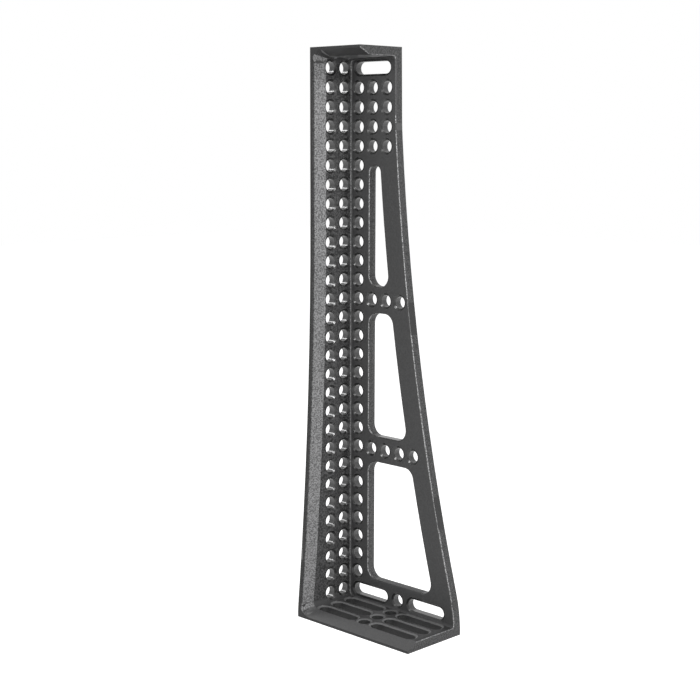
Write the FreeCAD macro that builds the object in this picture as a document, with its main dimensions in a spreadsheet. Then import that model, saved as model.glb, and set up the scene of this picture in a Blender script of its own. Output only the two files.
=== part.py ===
"""Clamping square for a welding table with a 25 mm hole grid: one iron casting.

A tall narrow end wall and a tapered side wall meet at a right angle. A foot plate and a small
head plate close the angle at its two ends. Every outer face is machined flat, and every wall
carries bolt holes or slots on the grid. The open edge of the end wall, foot and head has a
wide bevel, and the free edge of the side wall is a plain square rim.

The body's own origin is the outer bottom corner of the two walls, with the casting towards
+X and -Y of it. Its Placement moves it so that the origin lies under the middle of the foot.
"""
import FreeCAD, Part
import math
import os
import Sketcher

NODE = "angle_plate"

# Driving sizes in millimetres. A share is a part of the overall height, and rows are a number.
SIZES = {
    # outer form
    "overall_height": 750.0,
    "foot_length": 200.0,
    "foot_depth": 100.0,
    "head_length": 90.0,
    "head_depth": 75.5,
    "end_wall": 12.0,
    "side_wall": 12.0,
    "foot_plate": 12.0,
    "head_plate": 12.0,
    # free edge of the side wall, from the head down to the toe
    "knee_spread": 1.2,
    "knee_below_top": 86.0,
    "knee_drop": 28.0,
    "knee_radius": 500.0,
    "toe_radius": 195.0,
    "toe_height": 2.0,
    # free edge of the end wall
    "sweep_below_top": 216.0,
    # corners and edges of the casting
    "foot_fillet": 8.0,
    "wall_fillet": 3.0,
    "bevel_land": 3.5,
    "bevel_reach": 17.0,
    "rim_round": 2.0,
    # windows in the side wall
    "window_inset": 45.0,
    "rim_width": 31.6,
    "bar_height": 35.0,
    "foot_web": 45.0,
    "window_radius": 15.0,
    "tip_share": 0.47,
    "lower_bar_share": 0.3,
    "upper_bar_share": 0.57,
    # bolt holes and slots
    "grid": 25.0,
    "hole_diameter": 16.0,
    "countersink_width": 2.6,
    "countersink_depth": 1.3,
    "head_rows": 4,
    "rim_margin": 13.0,
    "slot_margin": 7.0,
    "side_slot_gap": 19.0,
    "side_slot_end": 19.0,
    "head_slot_end": 9.0,
    "foot_slot_gap": 14.5,
    "foot_slot_end": 12.0,
}

CLEAR = 2.0  # how far a cutting shape runs past the face it opens

doc = FreeCAD.newDocument("angle_plate")
sheet = doc.addObject("Spreadsheet::Sheet", "sizes")
for row, (word, value) in enumerate(SIZES.items(), start=1):
    sheet.set(f"A{row}", word)
    sheet.set(f"B{row}", str(value))
    sheet.setAlias(f"B{row}", word)
doc.recompute()

body = doc.addObject("PartDesign::Body", NODE)
body.Label = NODE
body.setExpression("Placement.Base.x", "-sizes.foot_length / 2")
body.setExpression("Placement.Base.y", "sizes.foot_depth / 2")


def size(word):
    """The value of one driving size."""
    return float(sheet.get(word))


def value_of(expression):
    """What an expression on the driving sizes comes to."""
    return float(sheet.evalExpression(expression))


def settle(feature):
    """Build what has been added so far and stop on anything that failed."""
    doc.recompute()
    if "Invalid" in feature.State or "Error" in feature.State:
        raise RuntimeError(f"{feature.Name} failed: {feature.State}")
    return feature


def new_sketch(name, role, offset=None):
    """A sketch on one of the body's origin planes, moved off it by an expression if given."""
    plane = next(p for p in body.Origin.OriginFeatures if p.Role == role)
    sketch = body.newObject("Sketcher::SketchObject", name)
    sketch.AttachmentSupport = [(plane, "")]
    sketch.MapMode = "FlatFace"
    if offset:
        sketch.setExpression("AttachmentOffset.Base.z", offset)
    doc.recompute()
    return sketch


def line(sketch, start, end):
    """Add a straight run between two points (x, y) and return its number."""
    return sketch.addGeometry(
        Part.LineSegment(FreeCAD.Vector(*start, 0), FreeCAD.Vector(*end, 0)), False
    )


def arc(sketch, centre, start, end, anticlockwise=True):
    """Add an arc about a centre from one point to another and return its number."""
    first, last = (start, end) if anticlockwise else (end, start)
    middle = FreeCAD.Vector(*centre, 0)
    radius = math.dist(centre, start)
    circle = Part.Circle(middle, FreeCAD.Vector(0, 0, 1), radius)
    begin = math.atan2(first[1] - centre[1], first[0] - centre[0])
    finish = math.atan2(last[1] - centre[1], last[0] - centre[0])
    if finish < begin:
        finish += 2 * math.pi
    return sketch.addGeometry(Part.ArcOfCircle(circle, begin, finish), False)


def pin(sketch, number, end, x=None, y=None):
    """Hold one end (1 start, 2 end, 3 centre) of a run at the x and y that two expressions give."""
    point = sketch.getPoint(number, end)
    for kind, place, expression in (("DistanceX", point.x, x), ("DistanceY", point.y, y)):
        if expression is None:
            continue
        rule = sketch.addConstraint(Sketcher.Constraint(kind, -1, 1, number, end, place))
        sketch.setExpression(f"Constraints[{rule}]", expression)


def polygon(sketch, corners):
    """A closed outline of straight runs through corners, each an (x, y) pair of expressions."""
    places = [(value_of(x), value_of(y)) for x, y in corners]
    count = len(corners)
    runs = [line(sketch, places[n], places[(n + 1) % count]) for n in range(count)]
    join(sketch, [((runs[n], 2), (runs[(n + 1) % count], 1), False) for n in range(count)])
    for run, (x, y) in zip(runs, corners):
        pin(sketch, run, 1, x, y)
    return runs


def join(sketch, links):
    """Join ends of runs: each link is two (number, end) pairs and whether they run on smoothly."""
    for (one, one_end), (two, two_end), smooth in links:
        kind = "Tangent" if smooth else "Coincident"
        sketch.addConstraint(Sketcher.Constraint(kind, one, one_end, two, two_end))


def set_radius(sketch, number, expression):
    """Give an arc a radius that an expression drives."""
    radius = sketch.Geometry[number].Radius
    rule = sketch.addConstraint(Sketcher.Constraint("Radius", number, radius))
    sketch.setExpression(f"Constraints[{rule}]", expression)


def edges_of(feature, test):
    """The names of the feature's edges that pass a test."""
    edges = feature.Shape.Edges
    return [f"Edge{n}" for n, edge in enumerate(edges, start=1) if test(edge)]


# The full block: the side view's outline, as deep as the foot. Its free edge leans out from the
# head, turns at the knee into one long arc, and turns back at the toe into the foot's end.
KNEE = "(sizes.overall_height - sizes.knee_below_top)"
head_corner = (size("head_length"), size("overall_height"))
knee_start = (size("head_length") + size("knee_spread"), value_of(KNEE))
lean = math.atan2(size("knee_spread"), size("knee_below_top"))
knee_centre = (
    knee_start[0] + size("knee_radius") * math.cos(lean),
    knee_start[1] + size("knee_radius") * math.sin(lean),
)
turned = math.asin(math.sin(lean) + size("knee_drop") / size("knee_radius"))
knee_end = (
    knee_centre[0] - size("knee_radius") * math.cos(turned),
    knee_centre[1] - size("knee_radius") * math.sin(turned),
)
toe_centre = (size("foot_length") - size("toe_radius"), size("toe_height"))
toe_end = (size("foot_length"), size("toe_height"))


def tangent_arc(start, angle, other_centre, other_radius):
    """The arc that leaves start square to the given angle and touches a circle from outside.

    Returns its centre, and the point where it touches the circle.
    """
    normal = (math.cos(angle), math.sin(angle))
    gap = (start[0] - other_centre[0], start[1] - other_centre[1])
    square = gap[0] ** 2 + gap[1] ** 2 - other_radius**2
    radius = square / (2 * (other_radius - gap[0] * normal[0] - gap[1] * normal[1]))
    centre = (start[0] + radius * normal[0], start[1] + radius * normal[1])
    share = other_radius / (radius + other_radius)
    touch = tuple(o + (c - o) * share for o, c in zip(other_centre, centre))
    return centre, touch


flank_centre, flank_end = tangent_arc(knee_end, turned, toe_centre, size("toe_radius"))

outline = new_sketch("side_outline", "XZ_Plane")
head_edge = line(outline, head_corner, knee_start)
knee = arc(outline, knee_centre, knee_start, knee_end)
flank = arc(outline, flank_centre, knee_end, flank_end)
toe = arc(outline, toe_centre, flank_end, toe_end, anticlockwise=False)
foot_end = line(outline, toe_end, (size("foot_length"), 0))
sole = line(outline, (size("foot_length"), 0), (0, 0))
back = line(outline, (0, 0), (0, size("overall_height")))
crown = line(outline, (0, size("overall_height")), head_corner)
join(
    outline,
    [
        ((head_edge, 2), (knee, 1), True),
        ((knee, 2), (flank, 1), True),
        ((flank, 2), (toe, 2), True),
        ((toe, 1), (foot_end, 1), True),
        ((foot_end, 2), (sole, 1), False),
        ((sole, 2), (back, 1), False),
        ((back, 2), (crown, 1), False),
        ((crown, 2), (head_edge, 1), False),
    ],
)
outline.addConstraint(Sketcher.Constraint("Coincident", sole, 2, -1, 1))
outline.addConstraint(Sketcher.Constraint("Vertical", foot_end))
outline.addConstraint(Sketcher.Constraint("Horizontal", sole))
outline.addConstraint(Sketcher.Constraint("Vertical", back))
outline.addConstraint(Sketcher.Constraint("Horizontal", crown))
pin(outline, head_edge, 1, "sizes.head_length", "sizes.overall_height")
pin(outline, head_edge, 2, "sizes.head_length + sizes.knee_spread", KNEE)
pin(outline, knee, 2, None, f"{KNEE} - sizes.knee_drop")
pin(outline, toe, 1, "sizes.foot_length", "sizes.toe_height")
set_radius(outline, knee, "sizes.knee_radius")
set_radius(outline, toe, "sizes.toe_radius")
for name, kind in (("flank_x", "DistanceX"), ("flank_z", "DistanceY")):
    place = outline.getPoint(flank, 3)
    value = place.x if kind == "DistanceX" else place.y
    rule = outline.addConstraint(Sketcher.Constraint(kind, -1, 1, flank, 3, value))
    outline.setDriving(rule, False)
    outline.renameConstraint(rule, name)
rule = outline.addConstraint(
    Sketcher.Constraint("Radius", flank, outline.Geometry[flank].Radius)
)
outline.setDriving(rule, False)
outline.renameConstraint(rule, "flank_radius")
settle(outline)

block = body.newObject("PartDesign::Pad", "block")
block.Profile = outline
block.setExpression("Length", "sizes.foot_depth")
settle(block)


def cut_through(name, sketch, length=None, backwards=False):
    """Pocket a sketch to a depth, or right through, and check that it took material away."""
    before = body.Tip.Shape.Volume
    pocket = body.newObject("PartDesign::Pocket", name)
    pocket.Profile = sketch
    pocket.Reversed = backwards
    pocket.Refine = False
    if length:
        pocket.setExpression("Length", length)
    else:
        pocket.Type = "ThroughAll"
    settle(pocket)
    if pocket.Shape.Volume > before - 1:
        raise RuntimeError(f"{name} cuts nothing")
    return pocket


# The open front is swept back: the end wall is as deep as the head down to the sweep, where its
# edge starts to curve out to the foot's depth.
SWEEP = "(sizes.overall_height - sizes.sweep_below_top)"
sweep_start = (-size("head_depth"), value_of(SWEEP))
front_toe_centre = (-size("foot_depth") + size("toe_radius"), size("toe_height"))
front_toe_end = (-size("foot_depth"), size("toe_height"))
mirrored_centre, mirrored_touch = tangent_arc(
    (size("head_depth"), value_of(SWEEP)),
    0.0,
    (-front_toe_centre[0], front_toe_centre[1]),
    size("toe_radius"),
)
sweep_centre = (-mirrored_centre[0], mirrored_centre[1])
sweep_end = (-mirrored_touch[0], mirrored_touch[1])
top = size("overall_height") + CLEAR
front = -size("foot_depth") - CLEAR

side = new_sketch("front_sweep", "YZ_Plane")
toe_arc = arc(side, front_toe_centre, front_toe_end, sweep_end, anticlockwise=False)
sweep = arc(side, sweep_centre, sweep_end, sweep_start)
rise = line(side, sweep_start, (-size("head_depth"), top))
over = line(side, (-size("head_depth"), top), (front, top))
down = line(side, (front, top), (front, size("toe_height")))
under = line(side, (front, size("toe_height")), front_toe_end)
join(
    side,
    [
        ((toe_arc, 1), (sweep, 1), True),
        ((sweep, 2), (rise, 1), True),
        ((rise, 2), (over, 1), False),
        ((over, 2), (down, 1), False),
        ((down, 2), (under, 1), False),
        ((under, 2), (toe_arc, 2), False),
    ],
)
side.addConstraint(Sketcher.Constraint("Vertical", rise))
side.addConstraint(Sketcher.Constraint("Horizontal", over))
side.addConstraint(Sketcher.Constraint("Vertical", down))
side.addConstraint(Sketcher.Constraint("Horizontal", under))
pin(side, toe_arc, 2, "-sizes.foot_depth", "sizes.toe_height")
pin(side, toe_arc, 3, None, "sizes.toe_height")
pin(side, rise, 1, "-sizes.head_depth", SWEEP)
pin(side, over, 2, f"-sizes.foot_depth - {CLEAR}", f"sizes.overall_height + {CLEAR}")
set_radius(side, toe_arc, "sizes.toe_radius")
settle(side)
cut_through("front_cut", side, backwards=True)

# The space inside the angle, open to the front and to the toe's side.
inner = new_sketch("inside_space", "XZ_Plane", "sizes.side_wall")
mouth = f"sizes.foot_length + {CLEAR}"
CEILING = "sizes.overall_height - sizes.head_plate"
polygon(
    inner,
    [
        ("sizes.end_wall", "sizes.foot_plate"),
        (mouth, "sizes.foot_plate"),
        (mouth, CEILING),
        ("sizes.end_wall", CEILING),
    ],
)
settle(inner)
cut_through("inside_cut", inner, backwards=True)


def round_edges(name, radius, test):
    """Round every edge of the casting so far that passes a test."""
    names = edges_of(body.Tip, test)
    if not names:
        raise RuntimeError(f"{name} finds no edge")
    tip = body.Tip
    fillet = body.newObject("PartDesign::Fillet", name)
    fillet.Base = (tip, names)
    fillet.setExpression("Radius", radius)
    return settle(fillet)


def runs_along(edge, axis):
    """Whether an edge is straight and parallel to one axis, given as 0, 1 or 2."""
    if not isinstance(edge.Curve, Part.Line):
        return False
    return abs(abs(edge.Curve.Direction[axis]) - 1) < 1e-6


def at(edge, axis, place):
    """Whether an edge's middle lies at one place along an axis."""
    return abs(edge.CenterOfMass[axis] - place) < 1e-3


# Fillets where the walls and plates meet inside.
left = size("end_wall")
floor = size("foot_plate")
ceiling = value_of(CEILING)
inside_y = -size("side_wall")


def at_a_plate(edge):
    """Whether an edge lies on the inside of the foot or of the head plate."""
    return at(edge, 2, floor) or at(edge, 2, ceiling)


def under_end_wall(edge):
    """Whether an edge is where the end wall meets the foot or the head plate."""
    return runs_along(edge, 1) and at(edge, 0, left) and at_a_plate(edge)


def beside_side_wall(edge):
    """Whether an edge is where the side wall meets another wall or plate."""
    return at(edge, 1, inside_y) and (at(edge, 0, left) or at_a_plate(edge))


round_edges("foot_and_head_fillets", "sizes.foot_fillet", under_end_wall)
round_edges("side_wall_fillets", "sizes.wall_fillet", beside_side_wall)


def chain_from(name, test):
    """The longest edge that passes a test; the ones that run on smoothly from it follow it."""
    names = edges_of(body.Tip, test)
    if not names:
        raise RuntimeError(f"{name} finds no edge")
    return max(names, key=lambda word: body.Tip.Shape.getElement(word).Length)


# The bevel: a narrow land is left at the open front, and the walls thicken behind it.
def on_open_front(edge):
    """Whether an edge is the end wall's inner edge at the open front."""
    return at(edge, 0, left) and edge.CenterOfMass[1] < -size("head_depth")


front_edge = chain_from("bevel", on_open_front)
tip = body.Tip
bevel = body.newObject("PartDesign::Chamfer", "bevel")
bevel.Base = (tip, [front_edge])
bevel.ChamferType = "Two distances"
bevel.setExpression("Size", "sizes.bevel_reach")
bevel.setExpression("Size2", "sizes.end_wall - sizes.bevel_land")
settle(bevel)


# The rim: the free edge inside the side wall, the foot's and head's ends that follow it, and the
# ends of the bevel.
def on_flank(edge):
    """Whether an edge lies on the long arc of the side wall's free edge, inside."""
    long_enough = edge.Length > size("overall_height") / 2
    return long_enough and at(edge, 1, inside_y) and not runs_along(edge, 2)


def ends_bevel(edge):
    """Whether an edge is where the bevel runs out at the foot's or the head's end."""
    if not isinstance(edge.Curve, Part.Line):
        return False
    across, deep, up = (abs(part) for part in edge.Curve.Direction)
    return across < 0.1 and deep > 0.2 and up > 0.2


rim_edges = [chain_from("rim", on_flank), *edges_of(body.Tip, ends_bevel)]
tip = body.Tip
rim = body.newObject("PartDesign::Fillet", "rim")
rim.Base = (tip, rim_edges)
rim.setExpression("Radius", "sizes.rim_round")
settle(rim)

# Windows in the side wall: three openings under one another between the column of holes and
# the rim, with a bar across for each of two rows of holes. Their outer sides follow the flank.
TOP_ROW = "(floor(sizes.overall_height / sizes.grid) - 1)"
LOWER_BAR = "round(sizes.overall_height * sizes.lower_bar_share / sizes.grid) * sizes.grid"
UPPER_BAR = "round(sizes.overall_height * sizes.upper_bar_share / sizes.grid) * sizes.grid"
WINDOW_TOP = f"({TOP_ROW} - sizes.head_rows - 1) * sizes.grid"
windows = new_sketch("windows", "XZ_Plane")
openings = [
    ("sizes.foot_web", f"{LOWER_BAR} - sizes.bar_height / 2"),
    (f"{LOWER_BAR} + sizes.bar_height / 2", f"{UPPER_BAR} - sizes.bar_height / 2"),
    (f"{UPPER_BAR} + sizes.bar_height / 2", WINDOW_TOP),
]
FLANK = "side_outline.Constraints.flank"
HUB_X, HUB_Z = f"{FLANK}_x / 1mm", f"{FLANK}_z / 1mm"
OUTER_REACH = f"({FLANK}_radius / 1mm + sizes.rim_width)"
hub = (value_of(HUB_X), value_of(HUB_Z))
reach = value_of(OUTER_REACH)
inset = size("window_inset")
for low_at, high_at in openings:
    low, high = value_of(low_at), value_of(high_at)
    wide, narrow = (hub[0] - math.sqrt(reach**2 - (z - hub[1]) ** 2) for z in (low, high))
    bottom = line(windows, (inset, low), (wide, low))
    outer = arc(windows, hub, (narrow, high), (wide, low))
    lintel = line(windows, (narrow, high), (inset, high))
    jamb = line(windows, (inset, high), (inset, low))
    join(
        windows,
        [
            ((bottom, 2), (outer, 2), False),
            ((outer, 1), (lintel, 1), False),
            ((lintel, 2), (jamb, 1), False),
            ((jamb, 2), (bottom, 1), False),
        ],
    )
    windows.addConstraint(Sketcher.Constraint("Horizontal", bottom))
    windows.addConstraint(Sketcher.Constraint("Horizontal", lintel))
    pin(windows, jamb, 2, "sizes.window_inset", low_at)
    pin(windows, jamb, 1, "sizes.window_inset", high_at)
    pin(windows, outer, 3, HUB_X, HUB_Z)
    set_radius(windows, outer, OUTER_REACH)
settle(windows)
cut_through("windows_cut", windows, "sizes.side_wall", backwards=True)

window_foot = size("foot_web")
window_top = value_of(WINDOW_TOP)
TIP_EDGE = f"({HUB_X} - sqrt({OUTER_REACH} ^ 2 - ({WINDOW_TOP} - {HUB_Z}) ^ 2))"


def window_corner(edge):
    """Whether an edge is a corner of a window, running through the side wall."""
    middle = edge.CenterOfMass
    inside = middle.x > inset - 1 and window_foot - 1 < middle.z < window_top + 1
    return runs_along(edge, 1) and inside and at(edge, 1, inside_y / 2)


def tip_corner(edge):
    """Whether an edge is one of the two corners at the narrow top of the highest window."""
    return window_corner(edge) and at(edge, 2, window_top)


round_edges("tip_corners", f"sizes.tip_share * ({TIP_EDGE} - sizes.window_inset)", tip_corner)
round_edges("window_corners", "sizes.window_radius", window_corner)


def window_edge(edge):
    """Whether an edge is the straight inner side of a window, beside the column of holes."""
    return runs_along(edge, 2) and at(edge, 1, inside_y) and at(edge, 0, inset)


round_edges("window_rounds", "sizes.rim_round", window_edge)


# Bolt holes and slots. One cutter makes them all: a bore with a flat countersink at both faces.
# Past each face it goes straight on, so that it also clears the fillets beside a hole.
BORE = "sizes.hole_diameter / 2"
LIP = 0.25
FLARE = f"({BORE} + sizes.countersink_width * (1 + {LIP} / sizes.countersink_depth))"
RUN_OUT = "sizes.foot_fillet"
FIRST_PLACE = "sizes.grid"
SECOND_PLACE = "2 * sizes.grid"
MIDDLE = "round(sizes.foot_length / sizes.grid / 2) * sizes.grid"
INSIDE_SIDE_WALL = "-sizes.side_wall"


def cutter_edge(wall):
    """The cutter's edge from one side of a wall to the other: (distance out, distance along)."""
    return [
        (FLARE, f"-{RUN_OUT}"),
        (FLARE, f"-{LIP}"),
        (BORE, "sizes.countersink_depth"),
        (BORE, f"{wall} - sizes.countersink_depth"),
        (FLARE, f"{wall} + {LIP}"),
        (FLARE, f"{wall} + {RUN_OUT}"),
    ]


def place_sketch(name, role, place, turn):
    """A sketch whose own origin is moved to a place given by expressions, and turned."""
    sketch = new_sketch(name, role)
    base = FreeCAD.Vector(*(value_of(expression) for expression in place))
    rotation = FreeCAD.Rotation(FreeCAD.Vector(0, 0, 1), turn)
    sketch.AttachmentOffset = FreeCAD.Placement(base, rotation)
    for letter, expression in zip("xyz", place):
        sketch.setExpression(f"AttachmentOffset.Base.{letter}", expression)
    doc.recompute()
    return sketch


def drill(name, wall, role, place, turn=0.0):
    """Turn the cutter once about its sketch's own upright axis."""
    sketch = place_sketch(f"{name}_section", role, place, turn)
    edge = cutter_edge(wall)
    polygon(sketch, [("0", edge[0][1]), *edge, ("0", edge[-1][1])])
    settle(sketch)
    groove = body.newObject("PartDesign::Groove", name)
    groove.Profile = sketch
    groove.ReferenceAxis = (sketch, ["V_Axis"])
    groove.Angle = 360
    groove.Refine = False
    return settle(groove)


def mill(name, wall, place, length, turn=0.0):
    """Cut the straight middle of a slot that runs along X from the given place."""
    sketch = place_sketch(f"{name}_section", "YZ_Plane", place, turn)
    edge = cutter_edge(wall)
    other_edge = [(f"-({out})", along) for out, along in reversed(edge)]
    polygon(sketch, edge + other_edge)
    settle(sketch)
    return cut_through(name, sketch, length, backwards=True)


def row_of(axis, spacing, count):
    """One direction of a pattern: copies along X, -Y or Z, their spacing and number as expressions."""
    row = doc.addObject("PartDesign::LinearPattern", "row")
    axis_line = next(a for a in body.Origin.OriginFeatures if a.Role == f"{axis[-1]}_Axis")
    row.Direction = (axis_line, [""])
    row.Reversed = axis[0] == "-"
    row.Mode = "Spacing"
    row.setExpression("Offset", spacing)
    row.setExpression("Occurrences", count)
    return row


def repeat(name, features, *rows):
    """Repeat cuts along one or more rows at once."""
    before = body.Tip.Shape.Volume
    pattern = body.newObject("PartDesign::MultiTransform", name)
    pattern.Originals = features
    pattern.Transformations = list(rows)
    pattern.Refine = False
    body.Tip = pattern
    settle(pattern)
    if pattern.Shape.Volume > before - 1:
        raise RuntimeError(f"{name} adds no copies")


def side_hole(name, x, z):
    """A bolt hole in the side wall."""
    return drill(name, "sizes.side_wall", "XY_Plane", (x, INSIDE_SIDE_WALL, z))


def side_slot(name, start, end, z):
    """A slot in the side wall between two ends in x: two bores and the cut between them."""
    first, last = f"{start} + {BORE}", f"{end} - {BORE}"
    side_hole(f"{name}_start", first, z)
    side_hole(f"{name}_end", last, z)
    place = (INSIDE_SIDE_WALL, z, first)
    mill(f"{name}_middle", "sizes.side_wall", place, f"{last} - ({first})", -90)


def foot_hole(name, x):
    """A bolt hole in the foot plate's first row, repeated over its other rows."""
    return drill(name, "sizes.foot_plate", "XZ_Plane", (x, "0", FIRST_PLACE))


def foot_slot(name, start, end):
    """A slot in the foot plate's first row between two ends in x."""
    first, last = f"{start} + {BORE}", f"{end} - {BORE}"
    place = (f"-{FIRST_PLACE}", "0", first)
    return [
        foot_hole(f"{name}_start", first),
        foot_hole(f"{name}_end", last),
        mill(f"{name}_middle", "sizes.foot_plate", place, f"{last} - ({first})"),
    ]


def fitting(room):
    """How many grid places lie in a length of wall: an expression."""
    return f"floor(({room}) / sizes.grid)"


NEAR_SLOT_START = "sizes.end_wall + sizes.slot_margin"
FOOT_ROWS = fitting("sizes.foot_depth - sizes.bevel_reach")
END_COLUMNS = fitting("sizes.head_depth - sizes.bevel_reach")
HEAD_COLUMNS = fitting("sizes.head_length - sizes.rim_margin")

# Foot plate: rows of a slot, a hole and a slot.
foot_row = [
    *foot_slot("near_foot_slot", NEAR_SLOT_START, f"{MIDDLE} - sizes.foot_slot_gap"),
    foot_hole("foot_hole", MIDDLE),
    *foot_slot(
        "far_foot_slot",
        f"{MIDDLE} + sizes.foot_slot_gap",
        "sizes.foot_length - sizes.foot_slot_end",
    ),
]
repeat("foot_rows", foot_row, row_of("-Y", "sizes.grid", FOOT_ROWS))

# Side wall: two slots above the foot with a hole between them, and one slot under the head.
side_slot("near_side_slot", NEAR_SLOT_START, f"{MIDDLE} - sizes.side_slot_gap", FIRST_PLACE)
side_hole("side_foot_hole", MIDDLE, FIRST_PLACE)
side_slot(
    "far_side_slot",
    f"{MIDDLE} + sizes.side_slot_gap",
    "sizes.foot_length - sizes.side_slot_end",
    FIRST_PLACE,
)
side_slot(
    "head_slot",
    NEAR_SLOT_START,
    "sizes.head_length - sizes.head_slot_end",
    f"{TOP_ROW} * sizes.grid",
)

# Side wall: holes across the bars, in the rows under the head, and in one long column.
for bar, height in (("lower_bar", LOWER_BAR), ("upper_bar", UPPER_BAR)):
    flank_there = f"{HUB_X} - sqrt(({FLANK}_radius / 1mm) ^ 2 - ({height} - {HUB_Z}) ^ 2)"
    holes = fitting(f"{flank_there} - sizes.rim_margin")
    bar_hole = side_hole(f"{bar}_hole", SECOND_PLACE, height)
    repeat(f"{bar}_holes", [bar_hole], row_of("X", "sizes.grid", f"{holes} - 1"))
repeat(
    "head_holes",
    [side_hole("head_hole", SECOND_PLACE, f"({TOP_ROW} - sizes.head_rows) * sizes.grid")],
    row_of("X", "sizes.grid", f"{HEAD_COLUMNS} - 1"),
    row_of("Z", "sizes.grid", "sizes.head_rows"),
)
column_hole = side_hole("column_hole", FIRST_PLACE, SECOND_PLACE)
repeat("column_holes", [column_hole], row_of("Z", "sizes.grid", f"{TOP_ROW} - 2"))

# Head plate: a small field of holes.
crown_hole = drill("crown_hole", "sizes.head_plate", "XZ_Plane", (FIRST_PLACE, CEILING, FIRST_PLACE))
repeat(
    "crown_holes",
    [crown_hole],
    row_of("X", "sizes.grid", HEAD_COLUMNS),
    row_of("-Y", "sizes.grid", END_COLUMNS),
)

# End wall: full columns of holes from foot to head.
end_place = ("0", f"-{FIRST_PLACE}", FIRST_PLACE)
end_hole = drill("end_hole", "sizes.end_wall", "XY_Plane", end_place, -90)
repeat(
    "end_holes",
    [end_hole],
    row_of("Z", "sizes.grid", TOP_ROW),
    row_of("-Y", "sizes.grid", END_COLUMNS),
)

for thing in doc.Objects:
    if "Invalid" in thing.State or "Error" in thing.State:
        raise RuntimeError(f"{thing.Name} failed: {thing.State}")
casting = body.Shape
if casting.isNull() or not casting.isValid() or len(casting.Solids) != 1:
    raise RuntimeError("the casting is not one valid solid")
os.makedirs("parts", exist_ok=True)
casting.exportStep(f"parts/{body.Label}.step")
print(f"{body.Label}: {casting.Volume / 1000:.1f} cm3, {len(casting.Faces)} faces")
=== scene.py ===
import math

import bmesh
import bpy
import numpy as np
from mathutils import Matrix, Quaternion, Vector


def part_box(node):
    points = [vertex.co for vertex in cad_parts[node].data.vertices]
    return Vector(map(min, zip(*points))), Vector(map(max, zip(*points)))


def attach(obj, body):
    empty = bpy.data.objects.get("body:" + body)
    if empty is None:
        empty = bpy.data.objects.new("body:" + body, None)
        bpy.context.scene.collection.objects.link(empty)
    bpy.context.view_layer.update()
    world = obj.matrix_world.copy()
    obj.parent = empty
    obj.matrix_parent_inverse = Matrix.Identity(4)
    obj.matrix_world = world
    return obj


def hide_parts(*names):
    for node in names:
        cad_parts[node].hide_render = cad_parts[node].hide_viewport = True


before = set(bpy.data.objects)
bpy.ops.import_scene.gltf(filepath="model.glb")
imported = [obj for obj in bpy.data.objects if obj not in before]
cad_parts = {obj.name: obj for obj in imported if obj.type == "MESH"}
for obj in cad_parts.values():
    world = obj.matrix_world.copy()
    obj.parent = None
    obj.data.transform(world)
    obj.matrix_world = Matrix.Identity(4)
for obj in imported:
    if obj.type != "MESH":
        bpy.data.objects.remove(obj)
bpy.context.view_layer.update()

MM = 0.001
scene = bpy.context.scene


# The body: one iron casting, a narrow end wall and a tapered side wall at a
# right angle, closed by a foot and a head plate. Its outer faces are milled, its
# holes and slots are bored and countersunk, and every inner face keeps the
# grainy skin of the sand mould.

GRID = 25 * MM
WALL = 12 * MM
HOLE_RADIUS = 8 * MM
COUNTERSINK_RADIUS = 11.2 * MM
SIDE_SLOTS = (50 * MM, 150 * MM)
SIDE_SLOT_HALF = 23 * MM
FOOT_SLOTS = ((52.25 * MM, 25.25 * MM), (151.25 * MM, 28.75 * MM))
SMOOTH_ANGLE = math.radians(32)
FLAT_ANGLE = math.radians(0.2)
WELD_DISTANCE = 0.002 * MM
ON_FACE = 0.05 * MM  # as far as a face's centre may lie off the plane it belongs to
FACET_SAG = 0.9  # share of the radius at which the middle of a bored wall's facet lies, at least
IS_COUNTERSUNK, IS_BORED = 0.4, 0.9  # the least inwardness of a countersink and of a bored wall
# A strip of painted shade along the end wall's outer edge: its width and its fade.
STRIP_WIDTH = 4.4 * MM
STRIP_FADE = 1.0 * MM

# The finishes; the last, on the small rounds at the free edges, is lighter as a painted highlight
# as well as from rubbing.
CAST_SKIN, MILLED, BORED, COUNTERSUNK, RUBBED_AND_HIGHLIT = range(5)

corner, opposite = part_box("angle_plate")
HEIGHT = opposite.z
END_FACE = corner.x
SIDE_FACE = opposite.y


def welded(source, name):
    """A mesh with the source's triangles, joined where they meet. Coplanar triangles are then
    one face, so that a flat wall has one normal from edge to edge."""
    mesh = bpy.data.meshes.new(name)
    work = bmesh.new()
    work.from_mesh(source)
    bmesh.ops.remove_doubles(work, verts=work.verts, dist=WELD_DISTANCE)
    bmesh.ops.dissolve_limit(
        work, angle_limit=FLAT_ANGLE, verts=work.verts, edges=work.edges
    )
    work.to_mesh(mesh)
    work.free()
    return mesh


def centres_and_normals(mesh):
    """Each face's centre, counted from the body's outer bottom corner, and its normal."""
    count = len(mesh.polygons)
    centres, normals = np.empty(count * 3), np.empty(count * 3)
    mesh.polygons.foreach_get("center", centres)
    mesh.polygons.foreach_get("normal", normals)
    return centres.reshape(-1, 3) - (END_FACE, SIDE_FACE, 0), normals.reshape(-1, 3)


def inwardness(across, up, normal_across, normal_up, half_length):
    """How far a face turns to a hole's axis, from 0 to 1: the part of its normal that points to the
    nearest point of the grid, or of the slot's middle line. It is 0 out of the hole's reach."""
    beyond = np.sign(across) * np.maximum(np.abs(across) - half_length, 0)
    distance = np.hypot(beyond, up)
    within = (distance > FACET_SAG * HOLE_RADIUS) & (distance < COUNTERSINK_RADIUS)
    towards = -(beyond * normal_across + up * normal_up)
    return np.divide(towards, distance, out=np.zeros_like(distance), where=within)


def to_grid(values):
    """The signed distance of each value from the nearest line of the hole grid."""
    return values - GRID * np.round(values / GRID)


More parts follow.
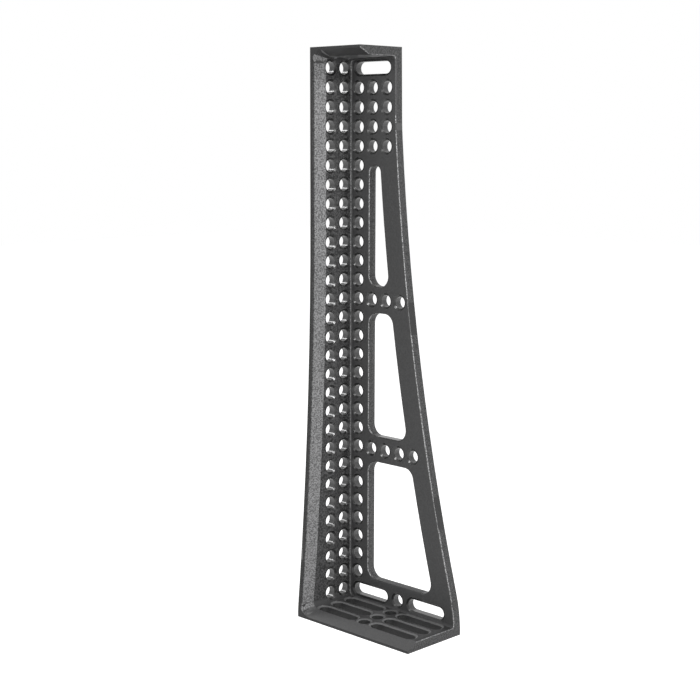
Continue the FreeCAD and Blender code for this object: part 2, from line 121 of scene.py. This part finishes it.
def turn_to_a_hole(centres, normals):
    """The inwardness of each face for the hole or slot that it belongs to: 1 on a bored wall and
    0.45 on a countersink."""
    x, y, z = centres.T
    nx, ny, nz = normals.T
    in_end, in_side = x < WALL, y > -WALL
    in_plate = (z < WALL) | (z > HEIGHT - WALL)
    turns = [
        in_end * inwardness(to_grid(y), to_grid(z), ny, nz, 0),
        in_side * inwardness(to_grid(x), to_grid(z), nx, nz, 0),
        in_plate * inwardness(to_grid(x), to_grid(y), nx, ny, 0),
    ]
    for centre, half_length in FOOT_SLOTS:
        turns.append((z < WALL) * inwardness(x - centre, to_grid(y), nx, ny, half_length))
    for centre in SIDE_SLOTS:
        turns.append(in_side * inwardness(x - centre, z - GRID, nx, nz, SIDE_SLOT_HALF))
    head_row = z - HEIGHT + GRID
    turns.append(in_side * inwardness(x - SIDE_SLOTS[0], head_row, nx, nz, SIDE_SLOT_HALF))
    return np.max(turns, axis=0)


def first_case(cases, otherwise):
    """For each face, the value of the first case that is true for it."""
    faces, values = zip(*cases)
    return np.select(faces, values, otherwise)


def skin_of(centres, normals, turn):
    """How coarse the skin of each face is and how light it is painted, both from 0 to 1. The
    lightness is partly wear of the dark scale and mostly painted light and shade, set by where each
    face lies and which way it faces. The end wall is coarse, and its bevel is painted light as a
    painted highlight. The side wall's cut edges, which face along it, are nearly as coarse. The
    lands, the head's bevel, the foot's top and what is bored in the foot are painted dark as
    painted shade, and the countersinks in the plates are painted light as a painted highlight."""
    x, y, z = centres.T
    nx, ny, nz = normals.T
    in_plate = (z < WALL + ON_FACE) | (z > HEIGHT - WALL - ON_FACE)
    flat_top = in_plate & (nz > 0.95)
    cut_edge = (np.abs(ny) < 0.3) & (x > 2 * WALL) & ~in_plate
    first_window_side = cut_edge & (x < 2 * GRID)
    rim = (nx > 0.94) & (x > 3 * WALL) & (y < 0)
    end_wall = (nx > 0.3) & (x < WALL + ON_FACE)
    land = (ny < -0.95) & (y < -5 * WALL)
    bevel = (ny < -0.3) & (ny > -0.6) & (turn < IS_COUNTERSUNK)
    end_bevel = bevel & (nx > np.abs(nz)) & (x < 3 * WALL)
    foot_bevel, head_bevel = bevel & (nz > 0.5), bevel & (nz < -0.5)
    coarse = first_case([(end_bevel | end_wall, 1.0), (rim, 0.6), (cut_edge, 0.7)], 0.12)
    # Painted light and shade: each face's lightness is chosen by where it lies and which way it
    # faces, to stand in for how the lamps fall on it.
    painted_light_and_wear = first_case(
        [
            (in_plate & (turn > IS_BORED), 0.03),
            (in_plate & (turn > IS_COUNTERSUNK), 0.5),
            (land, 0.02),
            (end_bevel, 0.72),
            (head_bevel, 0.02),
            (foot_bevel, 0.24),
            (flat_top, 0.05),
            (rim & ~first_window_side, 0.14),
            (cut_edge, 0.19),
        ],
        0.12,
    )
    return coarse, painted_light_and_wear


def rubbed_and_highlit_faces(centres, normals, turn):
    """True in the middle of the small rounds at the free edges, which take a painted highlight:
    they face out along the side wall and, half as much, to the front or away from a plate."""
    x, y, z = centres.T
    nx, ny, nz = normals.T
    in_plate = (z < WALL) | (z > HEIGHT - WALL)
    faces_out = (nx > 0.4) & (nx < 0.92)
    faces_aside = (ny < -0.3) | (in_plate & (np.abs(nz) > 0.3))
    return faces_out & faces_aside & (x > 3 * WALL) & (turn < IS_COUNTERSUNK)


def milled_faces(centres, normals):
    """True for the flat outer faces: they lie on one of the four planes of the square."""
    x, y, z = centres.T
    nx, ny, nz = normals.T
    depths = np.column_stack((x, -y, z, HEIGHT - z))
    outward = np.column_stack((-nx, ny, -nz, nz))
    return ((depths < ON_FACE) & (outward > 0.99)).any(axis=1)


def finish_of(centres, normals, turn):
    """The place of each face's material in the casting's list."""
    in_wall = (centres[:, 2] > WALL) & (centres[:, 2] < HEIGHT - WALL)
    finish = first_case(
        [
            (in_wall & (turn > IS_BORED), BORED),
            (in_wall & (turn > IS_COUNTERSUNK), COUNTERSUNK),
            (rubbed_and_highlit_faces(centres, normals, turn), RUBBED_AND_HIGHLIT),
            (milled_faces(centres, normals), MILLED),
        ],
        CAST_SKIN,
    )
    return finish.astype(np.int32)


def sharpen_borders(mesh, finish):
    """Mark each edge sharp whose faces differ in finish. A countersink so stays a clear cone."""
    edge_of_corner = np.empty(len(mesh.loops), dtype=np.int32)
    mesh.loops.foreach_get("edge_index", edge_of_corner)
    corners = np.empty(len(mesh.polygons), dtype=np.int32)
    mesh.polygons.foreach_get("loop_total", corners)
    finish_of_corner = np.repeat(finish, corners)
    lowest = np.full(len(mesh.edges), RUBBED_AND_HIGHLIT)
    highest = np.full(len(mesh.edges), CAST_SKIN)
    np.minimum.at(lowest, edge_of_corner, finish_of_corner)
    np.maximum.at(highest, edge_of_corner, finish_of_corner)
    sharp = np.empty(len(mesh.edges), dtype=bool)
    mesh.edges.foreach_get("use_edge_sharp", sharp)
    mesh.edges.foreach_set("use_edge_sharp", sharp | (lowest != highest))


class Field:
    """A shader socket that can be written in a formula. The operators add Math nodes, and node()
    adds any other node to the same material."""

    def __init__(self, tree, socket):
        self.tree = tree
        self.socket = socket

    def node(self, kind, settings=None, **sockets):
        """A new node of this type, with its settings put in first and then its sockets' values or
        links. A socket's name has an underscore for each space."""
        made = self.tree.nodes.new(kind)
        for key, value in (settings or {}).items():
            setattr(made, key, value)
        for key, value in sockets.items():
            name = key.replace("_", " ")
            place = made.inputs[int(name[5:])] if name.startswith("input") else made.inputs[name]
            if isinstance(value, Field):
                self.tree.links.new(value.socket, place)
            else:
                place.default_value = value
        return made

    def out(self, made, name):
        """One output of a node in this field's tree, as a field."""
        return Field(self.tree, made.outputs[name])

    def math(self, operation, *values):
        """One Math node on these values, of which at least one is a field."""
        sockets = {f"input{i}": value for i, value in enumerate(values)}
        made = self.node("ShaderNodeMath", {"operation": operation}, **sockets)
        return self.out(made, "Value")

    def __add__(self, other):
        return self.math("ADD", self, other)

    __radd__ = __add__

    def __sub__(self, other):
        return self.math("SUBTRACT", self, other)

    def __rsub__(self, other):
        return self.math("SUBTRACT", other, self)

    def __mul__(self, other):
        return self.math("MULTIPLY", self, other)

    __rmul__ = __mul__

    def larger(self, other):
        return self.math("MAXIMUM", self, other)

    def ramp(self, low, high):
        """0 below low, 1 above high, and a smooth step between."""
        smooth = {"interpolation_type": "SMOOTHSTEP"}
        made = self.node("ShaderNodeMapRange", smooth, Value=self, From_Min=low, From_Max=high)
        return self.out(made, "Result")

    def noise(self, scale, detail, roughness=0.5):
        """Noise from 0 to 1 on this field's coordinates."""
        made = self.node(
            "ShaderNodeTexNoise", Vector=self, Scale=scale, Detail=detail, Roughness=roughness
        )
        return self.out(made, "Fac")

    def blend(self, first, second):
        """The first colour where this field is 0 and the second where it is 1."""
        colours = {"data_type": "RGBA"}
        made = self.node("ShaderNodeMix", colours, input0=self, input6=first, input7=second)
        return Field(self.tree, made.outputs[2])

    def feed(self, socket):
        """Link this field to a socket of another node in its tree."""
        self.tree.links.new(self.socket, socket)


def new_material(name):
    """An empty material with its surface shader, and its object coordinates as a field."""
    material = bpy.data.materials.new(name)
    material.use_nodes = True
    tree = material.node_tree
    shader = tree.nodes["Principled BSDF"]
    coordinates = tree.nodes.new("ShaderNodeTexCoord")
    return material, shader, Field(tree, coordinates.outputs["Object"])


def grey(level):
    """A grey with a trace of blue, as iron has."""
    return (level, level, level * 1.01, 1)


def relief(place, height, distance):
    """The normal of a surface with this height, from 0 to 1, times distance."""
    made = place.node("ShaderNodeBump", Height=height, Distance=distance, Strength=1.0)
    return place.out(made, "Normal")


def attribute(place, name):
    """A value that each face of the piece carries."""
    return place.out(place.node("ShaderNodeAttribute", {"attribute_name": name}), "Fac")


def cast_skin():
    """Dark iron under its mould scale, with the grain of the mould: two sizes of noise raise it,
    and the tops of the grains are lighter from wear. Each face carries how coarse it is and how
    light it is painted, which is painted light and shade as well as wear, and a strip along the end
    wall's outer edge is painted dark as painted shade."""
    material, shader, place = new_material("cast skin")
    across = place.out(place.node("ShaderNodeSeparateXYZ", Vector=place), "X") - END_FACE
    coarse = attribute(place, "coarse")
    # Painted shade: the lightness fades to dark within a strip along the end wall's outer edge.
    painted_light_and_wear = attribute(place, "painted_light_and_wear") * across.ramp(STRIP_WIDTH, STRIP_WIDTH + STRIP_FADE)
    grain = place.noise(scale=540, detail=1) * 0.75 + place.noise(scale=1500, detail=1) * 0.25
    patches = place.noise(scale=16, detail=3, roughness=0.6)
    tops = (grain.ramp(0.4, 0.6) - 0.5) * coarse * 1.1
    # The lightness: wear on the grain tops, added to each face's painted light and shade.
    painted_light_and_bare = (painted_light_and_wear + tops * (0.2 + painted_light_and_wear * 0.7)).larger(0)
    # The dark scale, which is also the painted shade, and the light iron, which is also the painted
    # highlight.
    scaled_or_shaded, bare_or_lit_iron = grey(0.026), grey(0.27)
    shader.inputs["Specular IOR Level"].default_value = 0.22
    painted_light_and_bare.blend(scaled_or_shaded, bare_or_lit_iron).feed(shader.inputs["Base Color"])
    (0.42 + patches * 0.1 - painted_light_and_wear * 0.08).feed(shader.inputs["Roughness"])
    relief(place, grain * coarse, distance=1.6 * MM).feed(shader.inputs["Normal"])
    return material


def milled_face():
    """Ground and nitrided iron: smooth, dark, with faint marks of the cutter along its feed."""
    material, shader, place = new_material("milled face")
    stretched = place.node("ShaderNodeMapping", Vector=place, Scale=(1, 1, 0.02))
    marks = place.out(stretched, "Vector").noise(scale=900, detail=2)
    patches = place.noise(scale=14, detail=3, roughness=0.55)
    shader.inputs["Metallic"].default_value = 0.4
    (marks * 0.4 + patches * 0.6).blend(grey(0.05), grey(0.09)).feed(shader.inputs["Base Color"])
    (0.32 + patches * 0.12).feed(shader.inputs["Roughness"])
    relief(place, marks, distance=0.03 * MM).feed(shader.inputs["Normal"])
    return material


def plain_metal(name, pattern, greys, roughness, metallic=0.0):
    """Metal that goes from the first grey and roughness to the second with a pattern, which is a
    function that makes a field from 0 to 1 of the place."""
    material, shader, place = new_material(name)
    shades = pattern(place)
    rise = roughness[1] - roughness[0]
    shader.inputs["Metallic"].default_value = metallic
    shades.blend(grey(greys[0]), grey(greys[1])).feed(shader.inputs["Base Color"])
    (roughness[0] + shades * rise).feed(shader.inputs["Roughness"])
    return material


def bored_wall():
    """Reamed iron in the holes and slots: smoother and brighter than the skin."""

    def clouds(place):
        return place.noise(scale=60, detail=2)

    return plain_metal("bored wall", clouds, (0.07, 0.11), (0.18, 0.24), metallic=0.25)


def shaded_countersink():
    """The flat cone round each hole in the walls: turned smooth, and painted near black as painted
    shade round the mouth of the hole.
    """

    def clouds(place):
        return place.noise(scale=80, detail=2)

    return plain_metal("shaded countersink", clouds, (0.014, 0.024), (0.2, 0.25))


def rubbed_and_highlit_edge():
    """The small rounds at the free edges: lighter grain by grain, partly where handling has rubbed
    the scale off and partly as a painted highlight along each edge.
    """

    def grains(place):
        return place.noise(scale=620, detail=1).ramp(0.35, 0.65)

    return plain_metal("rubbed and highlit edge", grains, (0.05, 0.3), (0.42, 0.32), metallic=0.3)


casting_mesh = welded(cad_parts["angle_plate"].data, "casting")
for material in (cast_skin(), milled_face(), bored_wall(), shaded_countersink(), rubbed_and_highlit_edge()):
    casting_mesh.materials.append(material)

face_centres, face_normals = centres_and_normals(casting_mesh)
turn = turn_to_a_hole(face_centres, face_normals)
finish_of_face = finish_of(face_centres, face_normals, turn)
casting_mesh.polygons.foreach_set("material_index", finish_of_face)
casting_mesh.polygons.foreach_set("use_smooth", np.ones(len(face_centres), dtype=bool))
casting_mesh.set_sharp_from_angle(angle=SMOOTH_ANGLE)
sharpen_borders(casting_mesh, finish_of_face)
# Each face carries how coarse its skin is and its lightness, which is painted light and shade as
# well as wear.
for word, values in zip(("coarse", "painted_light_and_wear"), skin_of(face_centres, face_normals, turn)):
    casting_mesh.attributes.new(word, "FLOAT", "FACE").data.foreach_set("value", values)

casting = bpy.data.objects.new("casting", casting_mesh)
scene.collection.objects.link(casting)
even_shade = casting.modifiers.new("flat walls stay flat", "WEIGHTED_NORMAL")
even_shade.keep_sharp = True
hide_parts("angle_plate")
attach(casting, "root")


# The floor: a wide pale table top under the foot. It is nearly white to the eye
# and in the iron's reflections, and still takes the casting's soft shadow.

FLOOR_HALF = 6.0
FLOOR_OWN_LIGHT = 0.85


def floor_plane():
    """A square as wide as the room, level with the underside of the foot."""
    signs = ((-1, -1), (1, -1), (1, 1), (-1, 1))
    corners = [(FLOOR_HALF * across, FLOOR_HALF * along, 0) for across, along in signs]
    mesh = bpy.data.meshes.new("floor")
    mesh.from_pydata(corners, [], [(0, 1, 2, 3)])
    return bpy.data.objects.new("floor", mesh)


def seen_directly(tree):
    """1 for rays from the camera, in a reflection or through glass, and 0 for all other light."""
    path = tree.nodes.new("ShaderNodeLightPath")
    camera, glossy, through = (
        Field(tree, path.outputs[name])
        for name in ("Is Camera Ray", "Is Glossy Ray", "Is Transmission Ray")
    )
    return camera.larger(glossy).larger(through)


def floor_material():
    """Matt and pale, with a light of its own that lights nothing else."""
    material, shader, place = new_material("pale floor")
    shader.inputs["Base Color"].default_value = (0.8, 0.8, 0.8, 1)
    shader.inputs["Roughness"].default_value = 0.9
    shader.inputs["Emission Color"].default_value = (1, 1, 1, 1)
    (seen_directly(place.tree) * FLOOR_OWN_LIGHT).feed(shader.inputs["Emission Strength"])
    return material


floor = floor_plane()
floor.data.materials.append(floor_material())
scene.collection.objects.link(floor)


# The room: an even white surround for the eye and for reflections, which lights
# the casting itself only dimly.

AMBIENT = 0.14

world = bpy.data.worlds.new("room")
scene.world = world
world.use_nodes = True
background = world.node_tree.nodes["Background"]
background.inputs["Color"].default_value = (1, 1, 1, 1)
level = seen_directly(world.node_tree) * (1 - AMBIENT) + AMBIENT
level.feed(background.inputs["Strength"])


# The lamps: a wide soft box in front, a second one high above it as the key,
# and three further off, right, front and left, for the glints in the holes.

GLINT_DISTANCE = 5.0


def soft_box(name, direction, distance, side, power):
    """A square area lamp that looks at the casting's middle from a direction."""
    lamp = bpy.data.lights.new(name, "AREA")
    lamp.shape = "SQUARE"
    lamp.size = side
    lamp.energy = power
    box = bpy.data.objects.new(name, lamp)
    away = Vector(direction).normalized()
    middle = Vector((0, 0, HEIGHT / 2))
    box.location = middle + away * distance
    box.rotation_mode = "QUATERNION"
    box.rotation_quaternion = (-away).to_track_quat("-Z", "Y")
    scene.collection.objects.link(box)


soft_box("front fill", (0.7, -0.7, 0.15), distance=2.2, side=1.0, power=15)
soft_box("key", (0.41, -0.41, 0.81), distance=1.7, side=0.7, power=9)
soft_box("right glint", (0.9, 0.14, 0.42), GLINT_DISTANCE, side=0.8, power=95)
soft_box("front glint", (-0.13, -0.9, 0.42), GLINT_DISTANCE, side=0.7, power=52)
soft_box("left glint", (-0.697, -0.15, 0.70), GLINT_DISTANCE, side=1.0, power=42)


# The camera: at eye level with the upper half of the casting, looking into the
# angle and a little down.

EYE = Vector((1.2478, -1.3077, 0.6400))
GAZE = Vector((-0.6971, 0.7012, -0.1493))
ROLL = 0.002

lens = bpy.data.cameras.new("camera")
lens.sensor_width = 36
lens.lens = 73.41
camera = bpy.data.objects.new("camera", lens)
camera.location = EYE
camera.rotation_mode = "QUATERNION"
camera.rotation_quaternion = GAZE.to_track_quat("-Z", "Y") @ Quaternion((0, 0, 1), ROLL)
scene.collection.objects.link(camera)
scene.camera = camera
scene.view_settings.view_transform = "Standard"
